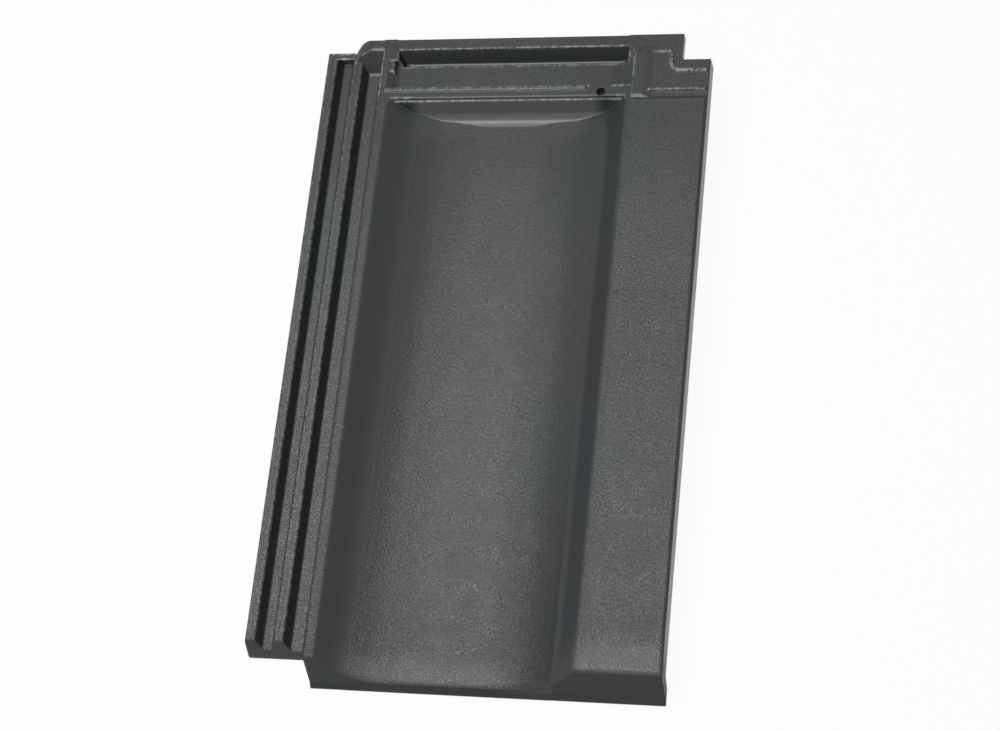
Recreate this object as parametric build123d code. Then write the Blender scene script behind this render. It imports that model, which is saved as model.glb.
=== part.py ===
from build123d import *
from math import atan2, cos, degrees, radians, sin, tan
import os

# Interlocking clay roof tile, one fired piece, lying with its weather face up.
# X runs from the side lock to the cover wing, Y from the foot (the eaves end) to the head, Z up.
# The tile is shaped in its own frame, with Z = 0 at the underside of the channel and Y = 0 at the foot.
# It is then tipped as it lies on a level floor, on its two hanging nibs and the foot end of the channel,
# with the origin on that floor, in the middle of the tile's plan.

# Overall size
tile_width = 280.0
tile_length = 466.8

# Levels above the underside of the channel
skirt_bottom = 4.0
channel_thickness = 10.3
groove_floor = 12.2
lock_rib_top = 19.4
lock_underside = 5.5
wing_top = 29.5
wing_thickness = 9.0
wing_rib_drop = 15.9
crest_drop = 0.5
head_drop = 1.8
head_thickness = 20.7
head_panel_drop = 5.2
head_groove_depth = 10.9

# Side lock: two ribs and two grooves, from the outer edge inwards
outer_rib_width = 7.0
middle_rib_start = 20.2
middle_rib_end = 26.5
lock_wall_run = 4.0
body_wall_foot = 39.4
crest_left = 44.6
crest_width = 6.9

# Channel and cover wing
left_wall_foot = 66.0
right_flank_foot = 208.5
wing_start = 224.3
wing_outer_rib = 6.0
wing_inner_rib_x = 255.0
wing_inner_rib_half = 2.6
wing_hollow_start = 229.5

# Foot: the flared front skirt
skirt_slope_run = 16.2
skirt_thickness = 10.0
skirt_crest_radius = 5.5
skirt_crest_strips = 3
skirt_flare_length = 3.0
skirt_flare_height = 3.8
lock_end_foot = 18.2
lock_end_slope_run = 8.7
foot_recess_length = 50.0

# Head lock, measured back from the head edge
head_rib_width = 8.5
head_groove_start = 21.8
head_groove_floor_start = 17.2
head_groove_floor_end = 14.8
head_groove_end_run = 4.0
head_panel_foot_end = 38.6
rim_foot_end = 47.2
rim_edge_groove_drop = 2.4
ramp_top_end = 48.8
ramp_foot_end = 55.4
ramp_foot_radius = 10.0
rim_bead_width = 3.8
rim_bead_height = 1.0
rim_bead_end_x = 194.0
head_recess_start = 50.5
head_groove_left = 56.0
head_groove_right = 222.5
head_panel_left = 48.8
head_panel_left_run = 8.2
head_panel_right = 226.0
head_panel_right_run = 16.0
head_pad_right = 53.4
head_pad_start = 25.5
head_pad_drop = 0.6
lock_head_setback = 6.0
corner_block_left = 20.6
corner_block_foot = 19.3
corner_block_top = 8.3
corner_block_knee = 6.0
corner_block_knee_drop = 3.2
corner_block_shoulder = 13.4
corner_block_radius = 13.0
corner_block_foot_radius = 3.5

# Small ribs on the head
long_rib_left = 225.4
long_rib_crest_right = 234.0
long_rib_right = 240.5
long_rib_height = 1.5
long_rib_foot_end = 50.0
long_rib_head_end = 9.0
notch_width = 20.0
notch_length = 20.0
notch_corner_radius = 2.0
notch_ridge_offset = 8.5
notch_ridge_width = 2.2
notch_ridge_height = 1.0

wing_step_from_head = 51.5
wing_bead_from_head = 42.8
wing_bead_width = 3.4
wing_bead_height = 1.3
wing_ridge_start_x = 236.5
wing_ridge_end_x = 252.0
wing_ridge_from_head = 13.0

# Nail hole
nail_hole_radius = 3.0
nail_hole_x = 205.0
nail_hole_from_head = 43.8

# Hanging nibs under the head
nib_width = 38.0
nib_length = 17.0
nib_from_head = 12.0
nib_positions = (88.0, 184.0)
nib_drop = 12.0
nib_draft = 4.0
nib_corner_radius = 2.0

# Places and levels that follow from the sizes
head_edge = tile_length
crest_top = wing_top - crest_drop
crest_x = crest_left + crest_width / 2
skirt_left = crest_left + 0.4
wing_ceiling = wing_top - wing_thickness
wing_rib_foot = wing_top - wing_rib_drop
head_level = wing_top - head_drop
head_underside = head_level - head_thickness
overlap = 1.0


def rounded_outline(corners):
    """A closed outline from (u, v, corner radius) triples: straight runs joined by tangent arcs."""
    places = [Vector(u, v) for u, v, radius in corners]
    starts, edges, ends = [], [], []
    for index, (u, v, radius) in enumerate(corners):
        here = places[index]
        back = (places[index - 1] - here).normalized()
        ahead = (places[(index + 1) % len(places)] - here).normalized()
        half_angle = radians(back.get_angle(ahead) / 2)
        setback = radius / tan(half_angle)
        middle = here + (back + ahead).normalized() * (radius / sin(half_angle) - radius)
        starts.append(here + back * setback)
        ends.append(here + ahead * setback)
        if radius > 0:
            edges.append(Edge.make_three_point_arc(starts[-1], middle, ends[-1]))
    for index, end in enumerate(ends):
        start = starts[(index + 1) % len(starts)]
        run = places[(index + 1) % len(places)] - places[index]
        if (start - end).dot(run) <= 0:
            raise ValueError(f"corner radii {index} and {index + 1} overlap")
        edges.append(Edge.make_line(end, start))
    return Wire(edges)


def along_length(corners, start, end):
    """A solid with an outline in X and Z, running from Y = start to Y = end."""
    plane = Plane(origin=(0, start, 0), x_dir=(1, 0, 0), z_dir=(0, -1, 0))
    face = make_face(plane * rounded_outline(corners))
    return extrude(face, amount=end - start, dir=(0, 1, 0))


def across_width(corners, start, end):
    """A solid with an outline in Y and Z, running from X = start to X = end."""
    plane = Plane(origin=(start, 0, 0), x_dir=(0, 1, 0), z_dir=(1, 0, 0))
    face = make_face(plane * rounded_outline(corners))
    return extrude(face, amount=end - start, dir=(1, 0, 0))


def upward(corners, low, high):
    """A solid with an outline in X and Y, running from Z = low to Z = high."""
    face = make_face(Pos(0, 0, low) * rounded_outline(corners))
    return extrude(face, amount=high - low, dir=(0, 0, 1))


def block(x_range, y_range, z_range):
    """A plain block between two values on each axis."""
    size = [high - low for low, high in (x_range, y_range, z_range)]
    middle = [(high + low) / 2 for low, high in (x_range, y_range, z_range)]
    return Pos(*middle) * Box(*size)


def channel_surface():
    """The weather side from the left crest to the cover wing, as outline corners."""
    return [
        (crest_left, crest_top, 3.2),
        (crest_left + crest_width, crest_top, 5.0),
        (left_wall_foot, channel_thickness + 7.2, 30.0),
        (left_wall_foot + 18.0, channel_thickness + 1.5, 70.0),
        (left_wall_foot + 50.0, channel_thickness, 200.0),
        (right_flank_foot - 50.0, channel_thickness, 200.0),
        (right_flank_foot - 17.0, channel_thickness + 1.2, 60.0),
        (right_flank_foot, channel_thickness + 5.5, 22.0),
        (wing_start, wing_top, 5.0),
        (tile_width, wing_top, 2.6),
    ]


def lock_surface():
    """The side lock from the outer edge to the foot of the body's left wall, as outline corners."""
    return [
        (0, lock_rib_top, 1.8),
        (outer_rib_width, lock_rib_top, 1.6),
        (outer_rib_width + lock_wall_run, groove_floor, 1.6),
        (middle_rib_start - 2.4, groove_floor, 1.6),
        (middle_rib_start, lock_rib_top, 1.6),
        (middle_rib_end, lock_rib_top, 1.6),
        (middle_rib_end + lock_wall_run, groove_floor, 1.6),
        (body_wall_foot, groove_floor, 2.0),
    ]


def wing_underside():
    """The underside of the cover wing with its two hanging ribs, from the outer edge inwards."""
    inner_left = wing_inner_rib_x - wing_inner_rib_half
    inner_right = wing_inner_rib_x + wing_inner_rib_half
    return [
        (tile_width, wing_rib_foot, 1.2),
        (tile_width - wing_outer_rib + 1.0, wing_rib_foot, 1.2),
        (tile_width - wing_outer_rib - 0.4, wing_ceiling, 1.4),
        (inner_right + 1.0, wing_ceiling, 1.4),
        (inner_right - 0.4, wing_rib_foot + 1.0, 1.2),
        (inner_left + 0.4, wing_rib_foot + 1.0, 1.2),
        (inner_left - 1.0, wing_ceiling, 1.4),
        (wing_hollow_start, wing_ceiling, 4.0),
    ]


def channel_underside():
    """The underside of the channel, from the cover wing back to the side lock."""
    return [
        (right_flank_foot + 7.0, 7.6, 18.0),
        (right_flank_foot - 13.0, 1.0, 40.0),
        (right_flank_foot - 44.0, 0, 60.0),
        (left_wall_foot + 42.0, 0, 60.0),
        (left_wall_foot + 10.0, 1.2, 40.0),
        (left_wall_foot - 6.0, 8.0, 12.0),
        (crest_x + 1.5, 15.0, 3.0),
        (body_wall_foot, lock_underside, 3.0),
    ]


def pressed_section():
    """The whole cross section, the same from foot to head."""
    return lock_surface() + channel_surface() + wing_underside() + channel_underside() + [(0, lock_underside, 1.4)]


def skirt_front():
    """The flared front of the skirt as outline corners in Y and Z, from the bottom edge up."""
    return [
        (0, skirt_bottom, 0.6),
        (0, skirt_bottom + 1.4, 0.6),
        (skirt_flare_length, skirt_bottom + skirt_flare_height, 4.0),
        (skirt_slope_run - 1.0, wing_top + 1.0, 0),
    ]


def crest_cut(tilt):
    """What is taken off above one narrow strip of the skirt's crest, which several such strips make round."""
    foot, top = Vector(*skirt_front()[2][:2]), Vector(*skirt_front()[3][:2])
    slope = (top - foot).normalized()
    steepness = atan2(slope.Y, slope.X)
    setback = skirt_crest_radius * (tan(steepness / 2) - tan(tilt / 2))
    above = [(crest_left - 3.0, crest_top, 0)] + channel_surface()[1:-1] + [
        (tile_width + overlap, wing_top, 0),
        (tile_width + overlap, wing_top + 12.0, 0),
        (crest_left - 3.0, wing_top + 12.0, 0),
    ]
    space = along_length(above, -20.0, 40.0)
    plane = Plane(origin=(0, foot.X + setback, foot.Y), x_dir=(1, 0, 0), z_dir=(0, -slope.Y, slope.X))
    face = section(space, section_by=plane).face()
    return extrude(face, amount=4 * skirt_crest_radius, dir=(0, -cos(tilt), -sin(tilt)))


def crest_cuts():
    """All the cuts that round the skirt's crest, from the channel's tilt to that of the skirt's front."""
    foot, top = skirt_front()[2], skirt_front()[3]
    steepness = atan2(top[1] - foot[1], top[0] - foot[0])
    step = steepness / (skirt_crest_strips + 1)
    return [crest_cut(step * number) for number in range(1, skirt_crest_strips + 1)]


def behind_skirt_front():
    """All that lies behind the skirt's front face and in front of the head edge."""
    outline = skirt_front()[1:] + [
        (skirt_slope_run, wing_top + 12.0, 0),
        (head_edge, wing_top + 12.0, 0),
        (head_edge, -20.0, 0),
        (0, -20.0, 0),
    ]
    return across_width(outline, -overlap, tile_width + overlap)


def skirt():
    """The front skirt, which closes the wing's hollow and makes the channel's lip."""
    envelope = [(skirt_left, skirt_bottom, 1.5)] + channel_surface() + [(tile_width, skirt_bottom, 1.5)]
    envelope[1] = (skirt_left, crest_top, 3.2)
    solid = along_length(envelope, -overlap, skirt_slope_run + skirt_thickness + 6.0)
    back = skirt_thickness
    profile = skirt_front()[:3] + [
        (skirt_slope_run, wing_top + 3.0, 0.5),
        (skirt_slope_run + back + 3.0, wing_top + 3.0, 0.5),
        (back + 1.5, skirt_bottom + 2.0, 3.0),
        (back - 2.0, skirt_bottom, 0.6),
    ]
    return solid & across_width(profile, skirt_left, tile_width)


def lock_foot_cut():
    """What is taken off in front of the side lock, which ends short of the skirt in a sloping face."""
    slope = lock_end_slope_run / (lock_rib_top - lock_underside)
    low, high = -overlap, wing_top + overlap
    outline = [
        (-overlap, low, 0),
        (lock_end_foot + (low - lock_underside) * slope, low, 0),
        (lock_end_foot + (high - lock_underside) * slope, high, 0),
        (-overlap, high, 0),
    ]
    return across_width(outline, -overlap, skirt_left)


def foot_recess():
    """What is taken off under the foot, where the tile laps over the head of the tile below."""
    outline = [
        (-overlap, -overlap, 0),
        (foot_recess_length, -overlap, 0),
        (foot_recess_length, 0, 0),
        (foot_recess_length - skirt_bottom, skirt_bottom, 1.5),
        (-overlap, skirt_bottom, 0),
    ]
    return across_width(outline, -overlap, tile_width + overlap)


def head_plateau():
    """The raised head: the ramp out of the channel, the rim above it, the rib at the head edge."""
    ramp_foot = head_edge - ramp_foot_end
    rim_foot = head_edge - rim_foot_end
    outline = [
        (ramp_foot - 9.0, channel_thickness - 6.0, 0),
        (ramp_foot - 9.0, channel_thickness, 0),
        (ramp_foot, channel_thickness, ramp_foot_radius),
        (head_edge - ramp_top_end, head_level - rim_edge_groove_drop + 0.4, 0.5),
        (rim_foot - 0.6, head_level - rim_edge_groove_drop, 0.3),
        (rim_foot, head_level, 1.0),
        (head_edge, head_level, 1.2),
        (head_edge, channel_thickness - 6.0, 0),
    ]
    return across_width(outline, crest_x - 2.0, wing_hollow_start + 4.5)


def head_recess():
    """The hollow under the head, where the batten lies behind the hanging nibs."""
    start = head_edge - head_recess_start
    outline = [
        (start, -overlap, 0),
        (start + 2.0, head_underside, 1.0),
        (head_edge + overlap, head_underside, 0),
        (head_edge + overlap, -overlap, 0),
    ]
    return across_width(outline, crest_x + 0.5, wing_hollow_start + 1.5)


def head_panel():
    """The shallow sunk panel between the rim and the head groove, with a steep left side and a long right one."""
    low = head_level - head_panel_drop
    outline = [
        (head_panel_left, head_level + overlap, 0),
        (head_panel_left, head_level, 0),
        (head_panel_left + head_panel_left_run, low, 5.0),
        (head_panel_right - head_panel_right_run, low, 20.0),
        (head_panel_right, head_level, 0),
        (head_panel_right, head_level + overlap, 0),
    ]
    return along_length(outline, head_edge - head_panel_foot_end, head_edge - head_groove_floor_start)


def head_pad():
    """The small raised pad on the panel's left side, which ends at the head groove."""
    low = head_level - head_panel_drop - overlap
    top = head_level - head_pad_drop
    start = head_edge - head_pad_start
    end = head_edge - head_rib_width + overlap
    across = [
        (head_panel_left - 2.0, low, 0),
        (head_panel_left - 2.0, top, 0),
        (head_pad_right, top, 1.5),
        (head_pad_right + 3.0, low, 0),
    ]
    along = [
        (start - 2.0, low, 0),
        (start, top, 1.5),
        (end, top, 0),
        (end, low, 0),
    ]
    return along_length(across, start - 2.0, end) & across_width(along, head_panel_left - 2.0, head_pad_right + 3.0)


def head_groove():
    """The deep water groove across the head, behind the outer rib."""
    low = head_level - head_groove_depth
    near, far = head_edge - head_groove_start, head_edge - head_rib_width
    walls = [
        (near, head_level + overlap, 0),
        (near, head_level, 0),
        (head_edge - head_groove_floor_start, low, 0.8),
        (head_edge - head_groove_floor_end, low, 2.2),
        (far, head_level, 0),
        (far, head_level + overlap, 0),
    ]
    ends = [
        (head_groove_left, head_level + overlap, 0),
        (head_groove_left, head_level, 0),
        (head_groove_left + head_groove_end_run, low, 3.0),
        (head_groove_right - head_groove_end_run, low, 3.0),
        (head_groove_right, head_level, 0),
        (head_groove_right, head_level + overlap, 0),
    ]
    return across_width(walls, head_groove_left, head_groove_right) & along_length(ends, near, far)


def wing_head_step():
    """What is taken off the top of the wing's head, which the wing of the tile above covers."""
    start = head_edge - wing_step_from_head
    outline = [
        (start, wing_top + overlap, 0),
        (start, wing_top, 0),
        (start + 3.0, head_level, 2.0),
        (head_edge + overlap, head_level, 0),
        (head_edge + overlap, wing_top + overlap, 0),
    ]
    return across_width(outline, crest_x - 8.0, tile_width + overlap)


def rim_bead():
    """The low rounded bead along the rim, beside the sunk panel."""
    far = head_edge - head_panel_foot_end
    near = far - rim_bead_width
    outline = [
        (near, head_level - overlap, 0),
        (near, head_level, 0),
        (near + 0.8, head_level + rim_bead_height, 1.2),
        (far - 0.2, head_level + rim_bead_height, 1.0),
        (far, head_level - overlap, 0),
    ]
    return across_width(outline, head_panel_left, rim_bead_end_x)


def wing_bead():
    """The low rounded bead across the wing's head."""
    middle = head_edge - wing_bead_from_head
    half = wing_bead_width / 2
    outline = [
        (middle - half, head_level - overlap, 0),
        (middle - half, head_level, 0),
        (middle - half + 0.9, head_level + wing_bead_height, 0.7),
        (middle + half - 0.9, head_level + wing_bead_height, 0.7),
        (middle + half, head_level, 0),
        (middle + half, head_level - overlap, 0),
    ]
    return across_width(outline, long_rib_right - 2.5, tile_width - 1.5)


def corner_block():
    """The sloping shoulder where the head's outer rib turns down to the side lock."""
    left, right = corner_block_left, crest_x
    shoulder = [
        (left, lock_underside, 0),
        (left, lock_rib_top, 1.0),
        (left + corner_block_knee, head_level - corner_block_knee_drop, 10.0),
        (left + corner_block_shoulder, head_level, 14.0),
        (right, head_level, 0),
        (right, lock_underside, 0),
    ]
    foot = head_edge - corner_block_foot
    front = [
        (foot - 6.0, lock_underside, 0),
        (foot - 6.0, groove_floor, 0),
        (foot, groove_floor, corner_block_foot_radius),
        (head_edge - corner_block_top, head_level, 4.0),
        (head_edge, head_level, 1.2),
        (head_edge, lock_underside, 0),
    ]
    return along_length(shoulder, foot - 6.0, head_edge) & across_width(front, left, right)


def lock_head_cut():
    """What is taken off at the head of the side lock, beside the corner block."""
    left = corner_block_left
    far = head_edge + overlap
    lock_end = head_edge - lock_head_setback
    side = upward([(-overlap, lock_end, 0), (-overlap, far, 0), (left, far, 0), (left, lock_end, 0)], -overlap, 40.0)
    reach = corner_block_radius
    centre = (left + reach, head_edge - reach)
    square = upward(
        [(left, centre[1], 0), (left, far, 0), (centre[0], far, 0), (centre[0], centre[1], 0)], -overlap, 40.0
    )
    return side + (square - Pos(*centre, 0) * Cylinder(reach, 200.0))


def lock_end_wall():
    """The wall that closes the outer lock groove at the head."""
    end = head_edge - lock_head_setback
    return block((1.0, corner_block_left + 2.0), (end - 5.0, end), (lock_underside, lock_rib_top))


def long_rib():
    """The low rib between the head panel and the wing's head, steep on the left and long on the right."""
    start = head_edge - long_rib_foot_end
    end = head_edge - long_rib_head_end
    low, top = head_level - overlap, head_level + long_rib_height
    across = [
        (long_rib_left, low, 0),
        (long_rib_left, head_level, 0),
        (long_rib_left + 1.2, top, 0.8),
        (long_rib_crest_right, top, 4.0),
        (long_rib_right, head_level, 0),
        (long_rib_right, low, 0),
    ]
    along = [
        (start, low, 0),
        (start, head_level, 0),
        (start + 3.0, top, 2.0),
        (end - 6.0, top, 4.0),
        (end, head_level, 0),
        (end, low, 0),
    ]
    return along_length(across, start, end) & across_width(along, long_rib_left, long_rib_right)


def wing_ridge():
    """The short low ridge across the wing's head, near the head edge."""
    middle = head_edge - wing_ridge_from_head
    half = notch_ridge_width / 2
    outline = [
        (middle - half, head_level - overlap, 0),
        (middle - half, head_level, 0),
        (middle, head_level + notch_ridge_height, 1.0),
        (middle + half, head_level, 0),
        (middle + half, head_level - overlap, 0),
    ]
    return across_width(outline, wing_ridge_start_x, wing_ridge_end_x)


def notch():
    """The corner cut out of the wing's head, which clears the neighbouring tile."""
    outline = [
        (tile_width - notch_width, head_edge - notch_length, notch_corner_radius),
        (tile_width - notch_width, head_edge + overlap, 0),
        (tile_width + overlap, head_edge + overlap, 0),
        (tile_width + overlap, head_edge - notch_length, 0),
    ]
    return upward(outline, -overlap, wing_top + overlap)


def notch_ridge():
    """The low ridge that runs round the notch on the wing's head."""
    left = tile_width - notch_width - notch_ridge_offset
    near = head_edge - notch_length - notch_ridge_offset - 1.0
    wide = notch_ridge_width
    outline = [
        (left, near + 14.0, 0.8),
        (left, near, 8.0),
        (tile_width - 2.0, near, 0.8),
        (tile_width - 2.0, near + wide, 0.8),
        (left + wide, near + wide, 5.8),
        (left + wide, near + 14.0, 0.8),
    ]
    return upward(outline, head_level - overlap, head_level + notch_ridge_height)


def nail_hole():
    place = Pos(nail_hole_x, head_edge - nail_hole_from_head, 0)
    return place * Cylinder(nail_hole_radius, 100.0)


def nib(middle):
    """A hanging nib, upright on the foot side, where it bears on the batten."""
    far = head_edge - nib_from_head
    near = far - nib_length
    outline = [
        (near, -nib_drop, nib_corner_radius),
        (far - nib_draft, -nib_drop, nib_corner_radius),
        (far, head_underside + overlap, 0),
        (near, head_underside + overlap, 0),
    ]
    return across_width(outline, middle - nib_width / 2, middle + nib_width / 2)


def build_tile():
    tile = along_length(pressed_section(), -overlap, head_edge)
    tile = tile & behind_skirt_front()
    tile = tile + skirt()
    for cut in crest_cuts():
        tile = tile - cut
    tile = tile - lock_foot_cut() - foot_recess()
    tile = tile + head_plateau() + corner_block() + lock_end_wall()
    tile = tile - wing_head_step() + rim_bead() + long_rib()
    tile = tile - head_recess() - head_panel()
    tile = tile + head_pad()
    tile = tile - head_groove()
    tile = tile + wing_bead() + wing_ridge() + notch_ridge()
    tile = tile - notch() - lock_head_cut() - nail_hole()
    for middle in nib_positions:
        tile = tile + nib(middle)
    return tile


def lying_on_floor(tile):
    """The tile tipped onto its nibs and the foot end of the channel, centred over the origin."""
    nib_from_foot = head_edge - nib_from_head - nib_length - foot_recess_length
    lying = Rot(X=degrees(atan2(nib_drop, nib_from_foot))) * tile
    box = lying.bounding_box()
    return Pos(-box.center().X, -box.center().Y, -box.min.Z) * lying


tile = lying_on_floor(build_tile())
os.makedirs("parts", exist_ok=True)
export_step(tile, "parts/roof_tile.step")
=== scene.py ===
from math import cos, radians, sin

import bpy
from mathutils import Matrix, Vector

# Camera, in metres and degrees
CAMERA_PLACE = (0.3918, -0.6004, 1.4186)
CAMERA_TURN = (23.711, 12.594, 6.393)
CAMERA_LENS = 83.954
CAMERA_SENSOR = 36.0

# Lamps: name, direction round the tile and height above the floor in degrees, and watts.
# The direction is 0 at the foot, 90 at the cover wing, 180 at the head and 270 at the side lock.
LAMPS = [
    ("left_back_high", 232, 70, 7.2),
    ("left_high", 272, 73, 6.4),
    ("left_front_high", 318, 66, 18.5),
    ("overhead", 0, 90, 2.6),
    ("back", 165, 62, 1.2),
    ("front_low", 0, 15, 0.8),
]
LAMP_DISTANCE = 1.8
LAMP_SIDE = 0.6

# The white world's strength as a light on the tile
FILL_STRENGTH = 0.02

# Glaze. The grain is weaker at the head, by the share given for it; so are the pale speckles, which
# are partly painted glints and fade with the lamps' highlight.
GREEN_GLAZE = (0.0275, 0.0325, 0.0343, 1)
PURPLE_GLAZE = (0.0305, 0.0301, 0.0330, 1)
# Pale speckles of the grain, partly painted glints
SPECK_AND_GLINT_COLOUR = (0.30, 0.30, 0.30, 1)
# Pale edge lines, partly wear and partly painted highlight
EDGE_WEAR_AND_HIGHLIGHT_COLOUR = (0.60, 0.61, 0.60, 1)
GLAZE_ROUGHNESS = (0.24, 0.34)
GLAZE_SPECULAR = 0.30
GRAIN_HEIGHT = 0.00042
GRAIN_ON_WALLS = 0.12
GRAIN_AT_HEAD = 0.26
GRAIN_COARSE_SHARE = 0.8
FOOT_TO_HEAD = (-0.21, 0.15)
SPECK_AND_GLINT_BESIDE_WALLS = 0.12

# Noises of the glaze: scale, detail and roughness
FINE_NOISE = (1500.0, 1.0, 0.6)
COARSE_NOISE = (620.0, 1.0, 0.5)
PATCH_NOISE = (40.0, 3.0, 0.5)
TINT_NOISE = (7.0, 2.0, 0.5)
EDGE_WEAR_HIGHLIGHT_NOISE = (300.0, 3.0, 0.7)

# The spans of those noises over which a mask rises
TINT_SPAN = (0.38, 0.62)
PATCH_SPAN = (0.35, 0.65)
SPECK_AND_GLINT_SPAN = (0.52, 0.75)
RAMP_GRAIN_SPAN = (0.30, 0.65)
CREST_GRAIN_SPAN = (0.35, 0.65)
ROUGHNESS_SPAN = (0.35, 0.70)
EDGE_WEAR_HIGHLIGHT_SPAN = (0.42, 0.60)

# The lowest value of the masks that never reach nought
PATCH_LOWEST = 0.55
RAMP_GRAIN_LOWEST = 0.55
CREST_GRAIN_LOWEST = 0.35

# Spans of steepness, where 1 looks straight up and 0 is a wall
LEVEL_UP = (0.86, 0.985)
SPECK_AND_GLINT_UP = (0.80, 0.995)
RAMP_NOT_WALL = (0.15, 0.30)
RAMP_NOT_LEVEL = (0.93, 0.80)
CREST_UP = (0.60, 0.80)
SKIRT_UP = (0.75, 0.60)

# Spans across the channel, where 0 is its middle and 1 is the start of the right flank
BESIDE_WALLS = (0.35, 0.95)
PAST_WALLS = (1.25, 1.35)
CREST_FROM_LEFT = (-1.10, -0.65)
CREST_TO_FLANK = (0.35, 0.75)
CREST_ON_WING = (1.18, 1.28)

# Wear and painted highlight on edges: how much of it shows, how deep an edge reaches, and the span
# of open depth behind the surface
EDGE_WEAR_HIGHLIGHT_SHARE = 0.55
EDGE_WEAR_HIGHLIGHT_REACH = 0.0022
EDGE_WEAR_HIGHLIGHT_DEPTH = (0.94, 0.70)
EDGE_WEAR_HIGHLIGHT_SAMPLES = 8

# Rounding of the edges in the shading: everywhere, and on the skirt's crest
EDGE_RADIUS = 0.0013
CREST_RADIUS = 0.0030
CREST_TO_REST = (-0.212, -0.202)
ROUNDING_SAMPLES = 6

# Soft hollow of the channel floor: middle, half width, steepest tilt, and the end at the head
HOLLOW_MIDDLE = -0.003
HOLLOW_REACH = 0.070
HOLLOW_TILT = 8.5
HOLLOW_END = (0.158, 0.170)

# More tilt on the hollow's right side, which fades out from the foot to the middle
FLANK_TILT = 24.0
FLANK_END = (-0.21, 0.04)

# The floor and the wing roll forward before the skirt's crest. Places near it are taken along the
# tile, less the skirt's run for each unit of height, so that they are the same all over its slope.
SKIRT_RUN = 0.635
ROLL_START = -0.203
ROLL_END = -0.2335
ROLL_TILT = 16.0

# Edges without the wear and painted highlight, as boxes seen from above: x from and to, y from and
# to
EDGES_WITHOUT_WEAR_OR_HIGHLIGHT = {
    "notch": (0.1165, 0.1500, 0.2085, 0.2400),
    "right_outline": (0.1375, 0.1500, -0.2400, 0.2400),
    "head_outline": (-0.1500, 0.1500, 0.2310, 0.2400),
    "foot": (-0.1500, 0.1500, -0.2400, -0.2000),
    "rim_groove": (-0.0700, 0.0760, 0.1849, 0.1875),
    "nail_hole": (0.0590, 0.0710, 0.1828, 0.1948),
}

# The ramp under the rim and the skirt's crest, painted paler: painted light on the ramp and a
# painted highlight on the crest
PAINTED_LIGHT_COLOUR = (0.105, 0.107, 0.108, 1)
RAMP_START = (0.166, 0.174)
RAMP_END = (0.1853, 0.1863)
RAMP_SIDE = (0.88, 1.00)
CREST_PAINTED_LIGHT = (-0.2150, -0.2300)

# The skirt and its lip, painted darker: painted shade on their steep faces
SKIRT_PAINTED_SHADE = (0.0140, 0.0180, 0.0198, 1)
SKIRT_TOP = (-0.2290, -0.2310)
LIP_TOP = (0.0075, 0.0090)

RISING = (0.0, 1.0)
FALLING = (1.0, 0.0)

# Floor: how much of it the camera sees as plain white
FLOOR_SIZE = 40.0
FLOOR_COLOUR = (0.60, 0.60, 0.60, 1)
FLOOR_WHITE = 0.95
FLOOR_ROUGHNESS = 0.9
FLOOR_IOR = 1.1


def new_material(name):
    """A material with nodes and the principled shader, with its nodes and links."""
    material = bpy.data.materials.new(name)
    material.use_nodes = True
    return material, material.node_tree.nodes, material.node_tree.links


def add_math(tree, operation, *values):
    """A math node on sockets or numbers, and its output."""
    node = tree.nodes.new("ShaderNodeMath")
    node.operation = operation
    for socket, value in zip(node.inputs, values):
        if isinstance(value, (int, float)):
            socket.default_value = value
        else:
            tree.links.new(value, socket)
    return node.outputs[0]


def add_product(tree, *factors):
    """Multiplies sockets or numbers, and returns the output."""
    product = factors[0]
    for factor in factors[1:]:
        product = add_math(tree, "MULTIPLY", product, factor)
    return product


def add_noise(tree, place, facts):
    """A noise texture over the object's own coordinates, and its output."""
    scale, detail, roughness = facts
    node = tree.nodes.new("ShaderNodeTexNoise")
    node.inputs["Scale"].default_value = scale
    node.inputs["Detail"].default_value = detail
    node.inputs["Roughness"].default_value = roughness
    tree.links.new(place, node.inputs["Vector"])
    return node.outputs["Fac"]


def add_range(tree, value, span, result=RISING):
    """Maps a value from its span to the result's, clamped, and returns the output."""
    node = tree.nodes.new("ShaderNodeMapRange")
    node.inputs["From Min"].default_value = span[0]
    node.inputs["From Max"].default_value = span[1]
    node.inputs["To Min"].default_value = result[0]
    node.inputs["To Max"].default_value = result[1]
    tree.links.new(value, node.inputs["Value"])
    return node.outputs["Result"]


def add_mix(tree, factor, first, second):
    """Mixes two colours, each a socket or a value, and returns the output."""
    node = tree.nodes.new("ShaderNodeMix")
    node.data_type = "RGBA"
    tree.links.new(factor, node.inputs["Factor"])
    for socket, value in ((node.inputs[6], first), (node.inputs[7], second)):
        if isinstance(value, tuple):
            socket.default_value = value
        else:
            tree.links.new(value, socket)
    return node.outputs[2]


def upward_mask(tree, span):
    """Goes from nought to one over a span of steepness, from the true normal."""
    geometry = tree.nodes.new("ShaderNodeNewGeometry")
    parts = tree.nodes.new("ShaderNodeSeparateXYZ")
    tree.links.new(geometry.outputs["Normal"], parts.inputs[0])
    return add_range(tree, parts.outputs["Z"], span)


def outer_edge_mask(tree):
    """One on edges that stand out, where the clay behind the surface soon ends."""
    depth = tree.nodes.new("ShaderNodeAmbientOcclusion")
    depth.samples = EDGE_WEAR_HIGHLIGHT_SAMPLES
    depth.inside = True
    depth.only_local = True
    depth.inputs["Distance"].default_value = EDGE_WEAR_HIGHLIGHT_REACH
    return add_range(tree, depth.outputs["AO"], EDGE_WEAR_HIGHLIGHT_DEPTH)


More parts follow.
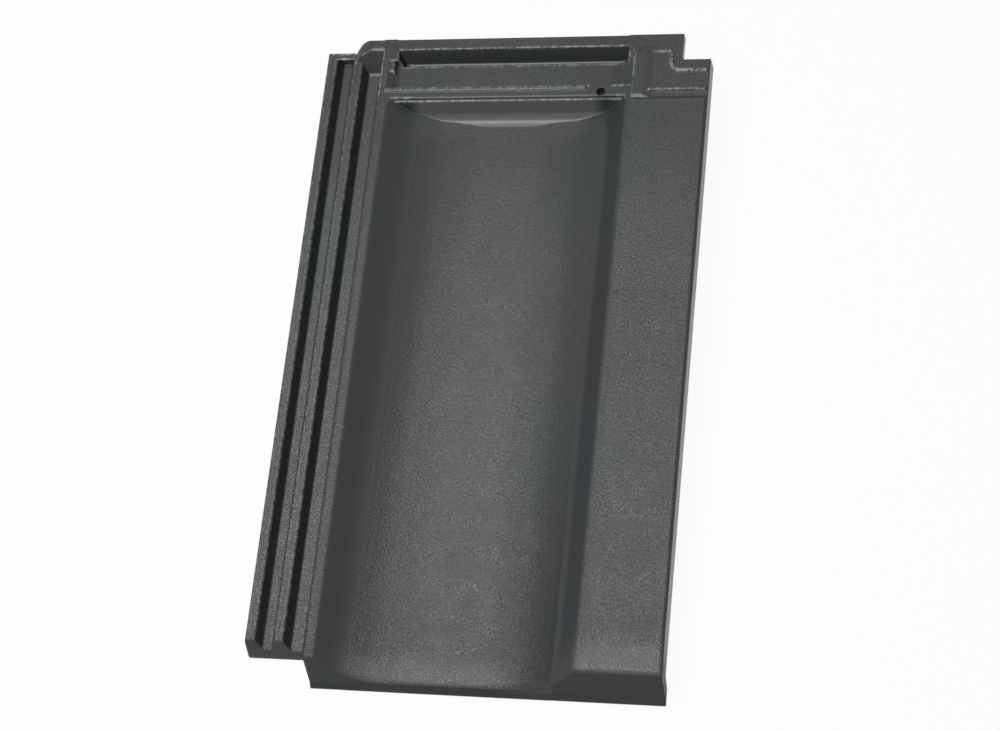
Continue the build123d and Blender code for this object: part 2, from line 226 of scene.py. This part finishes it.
def outside_box(tree, parts, box):
    """Nought inside a box seen from above, one outside."""
    left, right, near, far = box
    inside = add_product(
        tree,
        add_math(tree, "GREATER_THAN", parts.outputs["X"], left),
        add_math(tree, "LESS_THAN", parts.outputs["X"], right),
        add_math(tree, "GREATER_THAN", parts.outputs["Y"], near),
        add_math(tree, "LESS_THAN", parts.outputs["Y"], far),
    )
    return add_math(tree, "SUBTRACT", 1.0, inside)


def edge_wear_and_highlight(tree, place, parts):
    """Thin broken pale lines on the outer edges, partly wear and partly painted highlight, but not
    along the outline.
    """
    broken = add_range(tree, add_noise(tree, place, EDGE_WEAR_HIGHLIGHT_NOISE), EDGE_WEAR_HIGHLIGHT_SPAN)
    allowed = [outside_box(tree, parts, box) for box in EDGES_WITHOUT_WEAR_OR_HIGHLIGHT.values()]
    return add_product(tree, outer_edge_mask(tree), broken, *allowed, EDGE_WEAR_HIGHLIGHT_SHARE)


def across_channel(tree, parts):
    """The place across the channel: nought at its middle, one where the right flank starts."""
    from_middle = add_math(tree, "SUBTRACT", parts.outputs["X"], HOLLOW_MIDDLE)
    return add_math(tree, "DIVIDE", from_middle, HOLLOW_REACH)


def to_front(tree, parts):
    """The place along the tile, the same all over the skirt's slope."""
    height = add_math(tree, "MULTIPLY", parts.outputs["Z"], SKIRT_RUN)
    return add_math(tree, "SUBTRACT", parts.outputs["Y"], height)


def hollow_height(tree, across):
    """The channel floor's soft hollow, whose tilt grows towards the walls and fades out on them."""
    share = add_math(tree, "MINIMUM", add_math(tree, "ABSOLUTE", across), 1.0)
    cube = add_math(tree, "DIVIDE", add_math(tree, "POWER", share, 3.0), 3.0)
    fifth = add_math(tree, "DIVIDE", add_math(tree, "POWER", share, 5.0), 5.0)
    rise = add_math(tree, "SUBTRACT", cube, fifth)
    return add_math(tree, "MULTIPLY", rise, 4 * radians(HOLLOW_TILT) * HOLLOW_REACH)


def flank_height(tree, parts, across):
    """The floor's earlier rise towards the right flank, near the foot."""
    cube = add_math(tree, "POWER", add_range(tree, across, RISING), 3.0)
    fade = add_range(tree, parts.outputs["Y"], FLANK_END, FALLING)
    return add_product(tree, cube, radians(FLANK_TILT) * HOLLOW_REACH / 3.0, fade)


def roll_height(tree, front):
    """The fall of the surface towards the skirt's crest."""
    cube = add_math(tree, "POWER", add_range(tree, front, (ROLL_START, ROLL_END)), 3.0)
    return add_math(tree, "MULTIPLY", cube, radians(ROLL_TILT) * (ROLL_START - ROLL_END) / 3.0)


def soft_normal(tree, parts, across, front, rounded):
    """The rounded normal, tilted by the hollow, the flank and the roll."""
    height = add_math(tree, "ADD", hollow_height(tree, across), flank_height(tree, parts, across))
    height = add_math(tree, "SUBTRACT", height, roll_height(tree, front))
    bump = tree.nodes.new("ShaderNodeBump")
    bump.inputs["Distance"].default_value = 1.0
    tree.links.new(add_range(tree, parts.outputs["Y"], HOLLOW_END, FALLING), bump.inputs["Strength"])
    tree.links.new(height, bump.inputs["Height"])
    tree.links.new(rounded, bump.inputs["Normal"])
    return bump.outputs["Normal"]


def ramp_painted_light_mask(tree, parts, across, fine):
    """One on the ramp between the rim and the channel floor, broken by the grain: where light is
    painted on the ramp.
    """
    return add_product(
        tree,
        add_range(tree, parts.outputs["Y"], RAMP_START),
        add_range(tree, parts.outputs["Y"], RAMP_END, FALLING),
        upward_mask(tree, RAMP_NOT_WALL),
        upward_mask(tree, RAMP_NOT_LEVEL),
        add_range(tree, add_math(tree, "ABSOLUTE", across), RAMP_SIDE, FALLING),
        add_range(tree, fine, RAMP_GRAIN_SPAN, (RAMP_GRAIN_LOWEST, 1.0)),
    )


def skirt_painted_shade_mask(tree, parts, front):
    """One on the skirt's slope and its lip, where shade is painted."""
    lip = add_range(tree, parts.outputs["Z"], LIP_TOP, FALLING)
    slope = add_math(tree, "MAXIMUM", upward_mask(tree, SKIRT_UP), lip)
    return add_product(tree, add_range(tree, front, SKIRT_TOP), slope)


def crest_painted_highlight_mask(tree, parts, across, front, fine):
    """Grows towards the skirt's crest, except beside the channel's walls: where a highlight is
    painted on the crest.
    """
    floor = add_product(
        tree,
        add_range(tree, across, CREST_FROM_LEFT),
        add_range(tree, across, CREST_TO_FLANK, FALLING),
    )
    wing = add_range(tree, across, CREST_ON_WING)
    return add_product(
        tree,
        add_range(tree, front, CREST_PAINTED_LIGHT),
        upward_mask(tree, CREST_UP),
        add_range(tree, parts.outputs["Z"], LIP_TOP),
        add_math(tree, "MAXIMUM", floor, wing),
        add_range(tree, fine, CREST_GRAIN_SPAN, (CREST_GRAIN_LOWEST, 1.0)),
    )


def speck_and_glint_mask(tree, place, across, fine):
    """Fine pale speckles on level faces, in soft patches, thinner beside the channel's walls: partly
    the glaze's grain, partly painted glints.
    """
    side = add_math(tree, "ABSOLUTE", across)
    beside = add_product(
        tree,
        add_range(tree, side, BESIDE_WALLS),
        add_range(tree, side, PAST_WALLS, FALLING),
    )
    return add_product(
        tree,
        add_range(tree, fine, SPECK_AND_GLINT_SPAN),
        upward_mask(tree, SPECK_AND_GLINT_UP),
        add_range(tree, add_noise(tree, place, PATCH_NOISE), PATCH_SPAN, (PATCH_LOWEST, 1.0)),
        add_range(tree, beside, RISING, (1.0, SPECK_AND_GLINT_BESIDE_WALLS)),
    )


def rounded_normal(tree, parts):
    """The normal with its edges rounded, more so on the skirt's crest."""
    bevel = tree.nodes.new("ShaderNodeBevel")
    bevel.samples = ROUNDING_SAMPLES
    radius = add_range(tree, parts.outputs["Y"], CREST_TO_REST, (CREST_RADIUS, EDGE_RADIUS))
    tree.links.new(radius, bevel.inputs["Radius"])
    return bevel.outputs["Normal"]


def grain_normal(tree, place, to_head, fine, smooth):
    """The smooth normal with the glaze's grain, which is strongest on level faces at the foot."""
    coarse = add_noise(tree, place, COARSE_NOISE)
    on_walls = add_range(tree, upward_mask(tree, LEVEL_UP), RISING, (GRAIN_ON_WALLS, 1.0))
    bump = tree.nodes.new("ShaderNodeBump")
    bump.inputs["Distance"].default_value = GRAIN_HEIGHT
    tree.links.new(add_product(tree, on_walls, to_head), bump.inputs["Strength"])
    grain = add_math(tree, "ADD", fine, add_product(tree, coarse, GRAIN_COARSE_SHARE))
    tree.links.new(grain, bump.inputs["Height"])
    tree.links.new(smooth, bump.inputs["Normal"])
    return bump.outputs["Normal"]


def glaze_colour(tree, place, parts, to_head, fine):
    """Anthracite with soft tints, painted shade on the skirt, painted light on the ramp and a
    painted highlight on the crest, pale speckles that are partly painted glints, and edges partly
    worn and partly painted with highlight.
    """
    across = across_channel(tree, parts)
    front = to_front(tree, parts)
    tint = add_range(tree, add_noise(tree, place, TINT_NOISE), TINT_SPAN)
    specks_and_glints = add_product(tree, speck_and_glint_mask(tree, place, across, fine), to_head)
    colour = add_mix(tree, tint, PURPLE_GLAZE, GREEN_GLAZE)
    # Painted shade on the skirt and its lip
    colour = add_mix(tree, skirt_painted_shade_mask(tree, parts, front), colour, SKIRT_PAINTED_SHADE)
    # Painted light on the ramp
    colour = add_mix(tree, ramp_painted_light_mask(tree, parts, across, fine), colour, PAINTED_LIGHT_COLOUR)
    # Painted highlight on the skirt's crest
    colour = add_mix(tree, crest_painted_highlight_mask(tree, parts, across, front, fine), colour, PAINTED_LIGHT_COLOUR)
    # Pale speckles, partly grain and partly painted glints
    colour = add_mix(tree, specks_and_glints, colour, SPECK_AND_GLINT_COLOUR)
    # Pale edge lines, partly wear and partly painted highlight
    return add_mix(tree, edge_wear_and_highlight(tree, place, parts), colour, EDGE_WEAR_AND_HIGHLIGHT_COLOUR)


def glaze_material():
    """Semi-matte anthracite glaze: fine pale grain on level faces, partly painted glints, thin
    broken wear and painted highlight on edges, and painted light and shade on the ramp, crest and
    skirt.
    """
    material, nodes, links = new_material("anthracite_glaze")
    tree = material.node_tree
    shader = nodes["Principled BSDF"]
    place = nodes.new("ShaderNodeTexCoord").outputs["Object"]
    parts = nodes.new("ShaderNodeSeparateXYZ")
    links.new(place, parts.inputs[0])

    fine = add_noise(tree, place, FINE_NOISE)
    to_head = add_range(tree, parts.outputs["Y"], FOOT_TO_HEAD, (1.0, GRAIN_AT_HEAD))
    across = across_channel(tree, parts)
    front = to_front(tree, parts)
    smooth = soft_normal(tree, parts, across, front, rounded_normal(tree, parts))

    shader.inputs["Specular IOR Level"].default_value = GLAZE_SPECULAR
    links.new(glaze_colour(tree, place, parts, to_head, fine), shader.inputs["Base Color"])
    links.new(add_range(tree, fine, ROUGHNESS_SPAN, GLAZE_ROUGHNESS), shader.inputs["Roughness"])
    links.new(grain_normal(tree, place, to_head, fine, smooth), shader.inputs["Normal"])
    return material


def seen_or_mirrored(tree):
    """One for rays that come from the camera, a mirror or a clear surface."""
    path = tree.nodes.new("ShaderNodeLightPath")
    seen = add_math(tree, "MAXIMUM", path.outputs["Is Camera Ray"], path.outputs["Is Glossy Ray"])
    return add_math(tree, "MAXIMUM", seen, path.outputs["Is Transmission Ray"])


def floor_material():
    """A pale floor that the camera sees almost white, with the tile's shadow still on it."""
    material, nodes, links = new_material("pale_floor")
    tree = material.node_tree
    shader = nodes["Principled BSDF"]
    shader.inputs["Base Color"].default_value = FLOOR_COLOUR
    shader.inputs["Roughness"].default_value = FLOOR_ROUGHNESS
    shader.inputs["IOR"].default_value = FLOOR_IOR
    glow = nodes.new("ShaderNodeEmission")
    glow.inputs["Strength"].default_value = 1.0
    mix = nodes.new("ShaderNodeMixShader")
    links.new(add_product(tree, seen_or_mirrored(tree), FLOOR_WHITE), mix.inputs[0])
    links.new(shader.outputs[0], mix.inputs[1])
    links.new(glow.outputs[0], mix.inputs[2])
    links.new(mix.outputs[0], nodes["Material Output"].inputs["Surface"])
    return material


def add_floor():
    """The level floor that the tile lies on."""
    bpy.ops.mesh.primitive_plane_add(size=FLOOR_SIZE, location=(0, 0, 0))
    floor = bpy.context.object
    floor.name = "floor"
    floor.data.materials.append(floor_material())


def white_world():
    """A white studio: full white where it is seen or mirrored, dimmer as a light on the tile."""
    world = bpy.data.worlds.new("studio")
    bpy.context.scene.world = world
    world.use_nodes = True
    tree = world.node_tree
    background = tree.nodes["Background"]
    background.inputs["Color"].default_value = (1, 1, 1, 1)
    strength = add_range(tree, seen_or_mirrored(tree), RISING, (FILL_STRENGTH, 1.0))
    tree.links.new(strength, background.inputs["Strength"])


def add_lamp(name, turn, height, power):
    """A square soft lamp that faces the tile."""
    light = bpy.data.lights.new(name, "AREA")
    light.shape = "SQUARE"
    light.size = LAMP_SIDE
    light.energy = power
    lamp = bpy.data.objects.new(name, light)
    level = cos(radians(height))
    way = Vector((sin(radians(turn)) * level, -cos(radians(turn)) * level, sin(radians(height))))
    lamp.location = way * LAMP_DISTANCE
    lamp.rotation_mode = "QUATERNION"
    lamp.rotation_quaternion = (-way).to_track_quat("-Z", "Y")
    bpy.context.collection.objects.link(lamp)


def add_camera():
    """The camera, above the right side of the foot."""
    data = bpy.data.cameras.new("camera")
    data.lens = CAMERA_LENS
    data.sensor_width = CAMERA_SENSOR
    camera = bpy.data.objects.new("camera", data)
    camera.location = CAMERA_PLACE
    camera.rotation_euler = [radians(turn) for turn in CAMERA_TURN]
    bpy.context.collection.objects.link(camera)
    bpy.context.scene.camera = camera


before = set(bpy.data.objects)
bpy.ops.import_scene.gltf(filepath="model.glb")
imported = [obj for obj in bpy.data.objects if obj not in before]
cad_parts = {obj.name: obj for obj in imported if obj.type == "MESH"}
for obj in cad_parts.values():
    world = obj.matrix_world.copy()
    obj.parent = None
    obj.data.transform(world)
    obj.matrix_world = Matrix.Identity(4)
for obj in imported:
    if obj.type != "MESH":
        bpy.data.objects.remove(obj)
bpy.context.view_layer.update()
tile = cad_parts["roof_tile"]

glaze = glaze_material()
for material_slot in tile.material_slots:
    material_slot.material = glaze

add_floor()
white_world()
for lamp_facts in LAMPS:
    add_lamp(*lamp_facts)
add_camera()
bpy.context.scene.view_settings.view_transform = "Standard"
